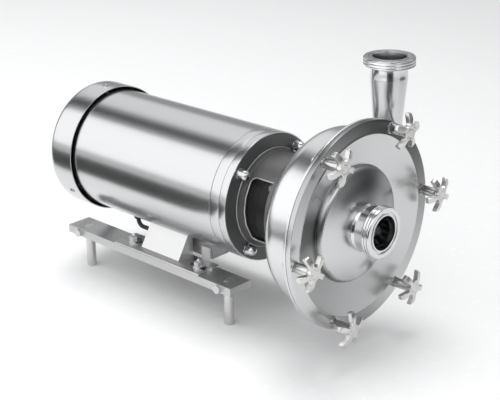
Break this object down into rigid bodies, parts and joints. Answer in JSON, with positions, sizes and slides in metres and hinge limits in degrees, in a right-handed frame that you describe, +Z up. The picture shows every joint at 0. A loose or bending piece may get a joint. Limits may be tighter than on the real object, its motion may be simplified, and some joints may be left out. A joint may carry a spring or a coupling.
{
  "type": "centrifugal pump",
  "caption": "Close-coupled stainless centrifugal pump with a dished bolted cover, threaded ports, a shrouded electric motor and a low base on round legs.",
  "frame": {"origin": "centre of the suction port's face, on the shaft axis", "axes": "+X out of the suction port along the shaft, +Z up along the discharge port, -Y the side with the motor lead"},
  "size_m": [0.6206, 0.3391, 0.4105],
  "materials": {
    "satin_stainless": "satin",
    "polished_stainless": "mirror polish",
    "base_steel": "satin",
    "bright_fixings": "bright",
    "cast_star": "cast and tumbled",
    "lantern_casting": "cast, painted grey",
    "flange_paint": "satin paint",
    "inner_casting": "as cast",
    "guard_black": "satin paint",
    "core_steel": "laminated",
    "winding_copper": "enamelled",
    "bearing_steel": "ground",
    "fan_plastic": "moulded",
    "box_casting": "satin",
    "plug_plastic": "moulded",
    "gland_plastic": "moulded",
    "lead_rubber": "smooth",
    "gasket_rubber": "moulded",
    "seal_ceramic": "lapped"
  },
  "bodies": {
    "pump": {"box_side_plug": "plug_plastic", "cable_glands": "gland_plastic", "casing_mounting_nuts": "bright_fixings", "casing_shell": "satin_stainless", "cover_gasket": "gasket_rubber", "cover_studs": "bright_fixings", "cowl_screws": "bright_fixings", "discharge_reducer": "satin_stainless", "discharge_union": "polished_stainless", "fan_cowl": "satin_stainless", "flange_dome_nuts": "bright_fixings", "foot_bolts": "bright_fixings", "foot_far": "base_steel", "foot_near": "base_steel", "front_bearing": "bearing_steel", "front_cover": "polished_stainless", "inlet_union": "polished_stainless", "lantern": "lantern_casting", "lantern_screws": "bright_fixings", "leg_lock_bolts": "bright_fixings", "motor_flange": "flange_paint", "motor_lead": "lead_rubber", "motor_shroud": "satin_stainless", "rail_far": "base_steel", "rail_near": "base_steel", "rear_bearing": "bearing_steel", "rear_end_shield": "inner_casting", "seal_stationary_ring": "seal_ceramic", "shroud_front_band": "satin_stainless", "stator_core": "core_steel", "stator_housing": "inner_casting", "stator_windings": "winding_copper", "terminal_box": "box_casting", "terminal_box_lid": "box_casting", "window_guard_far": "guard_black", "window_guard_near": "guard_black"},
    "rotor": {"motor_shaft": "core_steel", "rotor_core": "core_steel", "cooling_fan": "fan_plastic", "stub_shaft": "satin_stainless", "shaft_clamp_ring": "satin_stainless", "impeller": "polished_stainless", "impeller_nut": "satin_stainless", "seal_rotating_ring": "seal_ceramic"},
    "star_washer_1": {"star_washer_1": "bright_fixings"},
    "star_nut_1": {"star_nut_1": "cast_star"},
    "star_washer_2": {"star_washer_2": "bright_fixings"},
    "star_nut_2": {"star_nut_2": "cast_star"},
    "star_washer_3": {"star_washer_3": "bright_fixings"},
    "star_nut_3": {"star_nut_3": "cast_star"},
    "star_washer_4": {"star_washer_4": "bright_fixings"},
    "star_nut_4": {"star_nut_4": "cast_star"},
    "star_washer_5": {"star_washer_5": "bright_fixings"},
    "star_nut_5": {"star_nut_5": "cast_star"},
    "star_washer_6": {"star_washer_6": "bright_fixings"},
    "star_nut_6": {"star_nut_6": "cast_star"},
    "leg_1": {"leg_1": "base_steel"},
    "leg_2": {"leg_2": "base_steel"},
    "leg_3": {"leg_3": "base_steel"},
    "leg_4": {"leg_4": "base_steel"}
  },
  "joints": [
    {"name": "shaft_spin", "type": "hinge", "parent": "pump", "child": "rotor", "pos_m": [-0.2126, 0, 0], "axis": [1, 0, 0], "continuous": true},
    {"name": "star_1_travel", "type": "slide", "parent": "pump", "child": "star_washer_1", "axis": [1, 0, 0], "range_m": [0, 0.01425]},
    {"name": "star_1_turn", "type": "hinge", "parent": "star_washer_1", "child": "star_nut_1", "pos_m": [-0.0396, 0.14321, 0.01505], "axis": [1, 0, 0], "range_deg": [0, 3421]},
    {"name": "star_2_travel", "type": "slide", "parent": "pump", "child": "star_washer_2", "axis": [1, 0, 0], "range_m": [0, 0.01425]},
    {"name": "star_2_turn", "type": "hinge", "parent": "star_washer_2", "child": "star_nut_2", "pos_m": [-0.0396, 0.05857, 0.13155], "axis": [1, 0, 0], "range_deg": [0, 3421]},
    {"name": "star_3_travel", "type": "slide", "parent": "pump", "child": "star_washer_3", "axis": [1, 0, 0], "range_m": [0, 0.01425]},
    {"name": "star_3_turn", "type": "hinge", "parent": "star_washer_3", "child": "star_nut_3", "pos_m": [-0.0396, -0.08464, 0.1165], "axis": [1, 0, 0], "range_deg": [0, 3421]},
    {"name": "star_4_travel", "type": "slide", "parent": "pump", "child": "star_washer_4", "axis": [1, 0, 0], "range_m": [0, 0.01425]},
    {"name": "star_4_turn", "type": "hinge", "parent": "star_washer_4", "child": "star_nut_4", "pos_m": [-0.0396, -0.14321, -0.01505], "axis": [1, 0, 0], "range_deg": [0, 3421]},
    {"name": "star_5_travel", "type": "slide", "parent": "pump", "child": "star_washer_5", "axis": [1, 0, 0], "range_m": [0, 0.01425]},
    {"name": "star_5_turn", "type": "hinge", "parent": "star_washer_5", "child": "star_nut_5", "pos_m": [-0.0396, -0.05857, -0.13155], "axis": [1, 0, 0], "range_deg": [0, 3421]},
    {"name": "star_6_travel", "type": "slide", "parent": "pump", "child": "star_washer_6", "axis": [1, 0, 0], "range_m": [0, 0.01425]},
    {"name": "star_6_turn", "type": "hinge", "parent": "star_washer_6", "child": "star_nut_6", "pos_m": [-0.0396, 0.08464, -0.1165], "axis": [1, 0, 0], "range_deg": [0, 3421]},
    {"name": "leg_1_slide", "type": "slide", "parent": "pump", "child": "leg_1", "axis": [0, 0, 1], "range_m": [0, 0.035]},
    {"name": "leg_2_slide", "type": "slide", "parent": "pump", "child": "leg_2", "axis": [0, 0, 1], "range_m": [0, 0.035]},
    {"name": "leg_3_slide", "type": "slide", "parent": "pump", "child": "leg_3", "axis": [0, 0, 1], "range_m": [0, 0.035]},
    {"name": "leg_4_slide", "type": "slide", "parent": "pump", "child": "leg_4", "axis": [0, 0, 1], "range_m": [0, 0.035]}
  ],
  "couplings": [
    {"joint": "star_1_turn", "follows": "star_1_travel", "rad_per_m": 4188.8},
    {"joint": "star_2_turn", "follows": "star_2_travel", "rad_per_m": 4188.8},
    {"joint": "star_3_turn", "follows": "star_3_travel", "rad_per_m": 4188.8},
    {"joint": "star_4_turn", "follows": "star_4_travel", "rad_per_m": 4188.8},
    {"joint": "star_5_turn", "follows": "star_5_travel", "rad_per_m": 4188.8},
    {"joint": "star_6_turn", "follows": "star_6_travel", "rad_per_m": 4188.8}
  ]
}
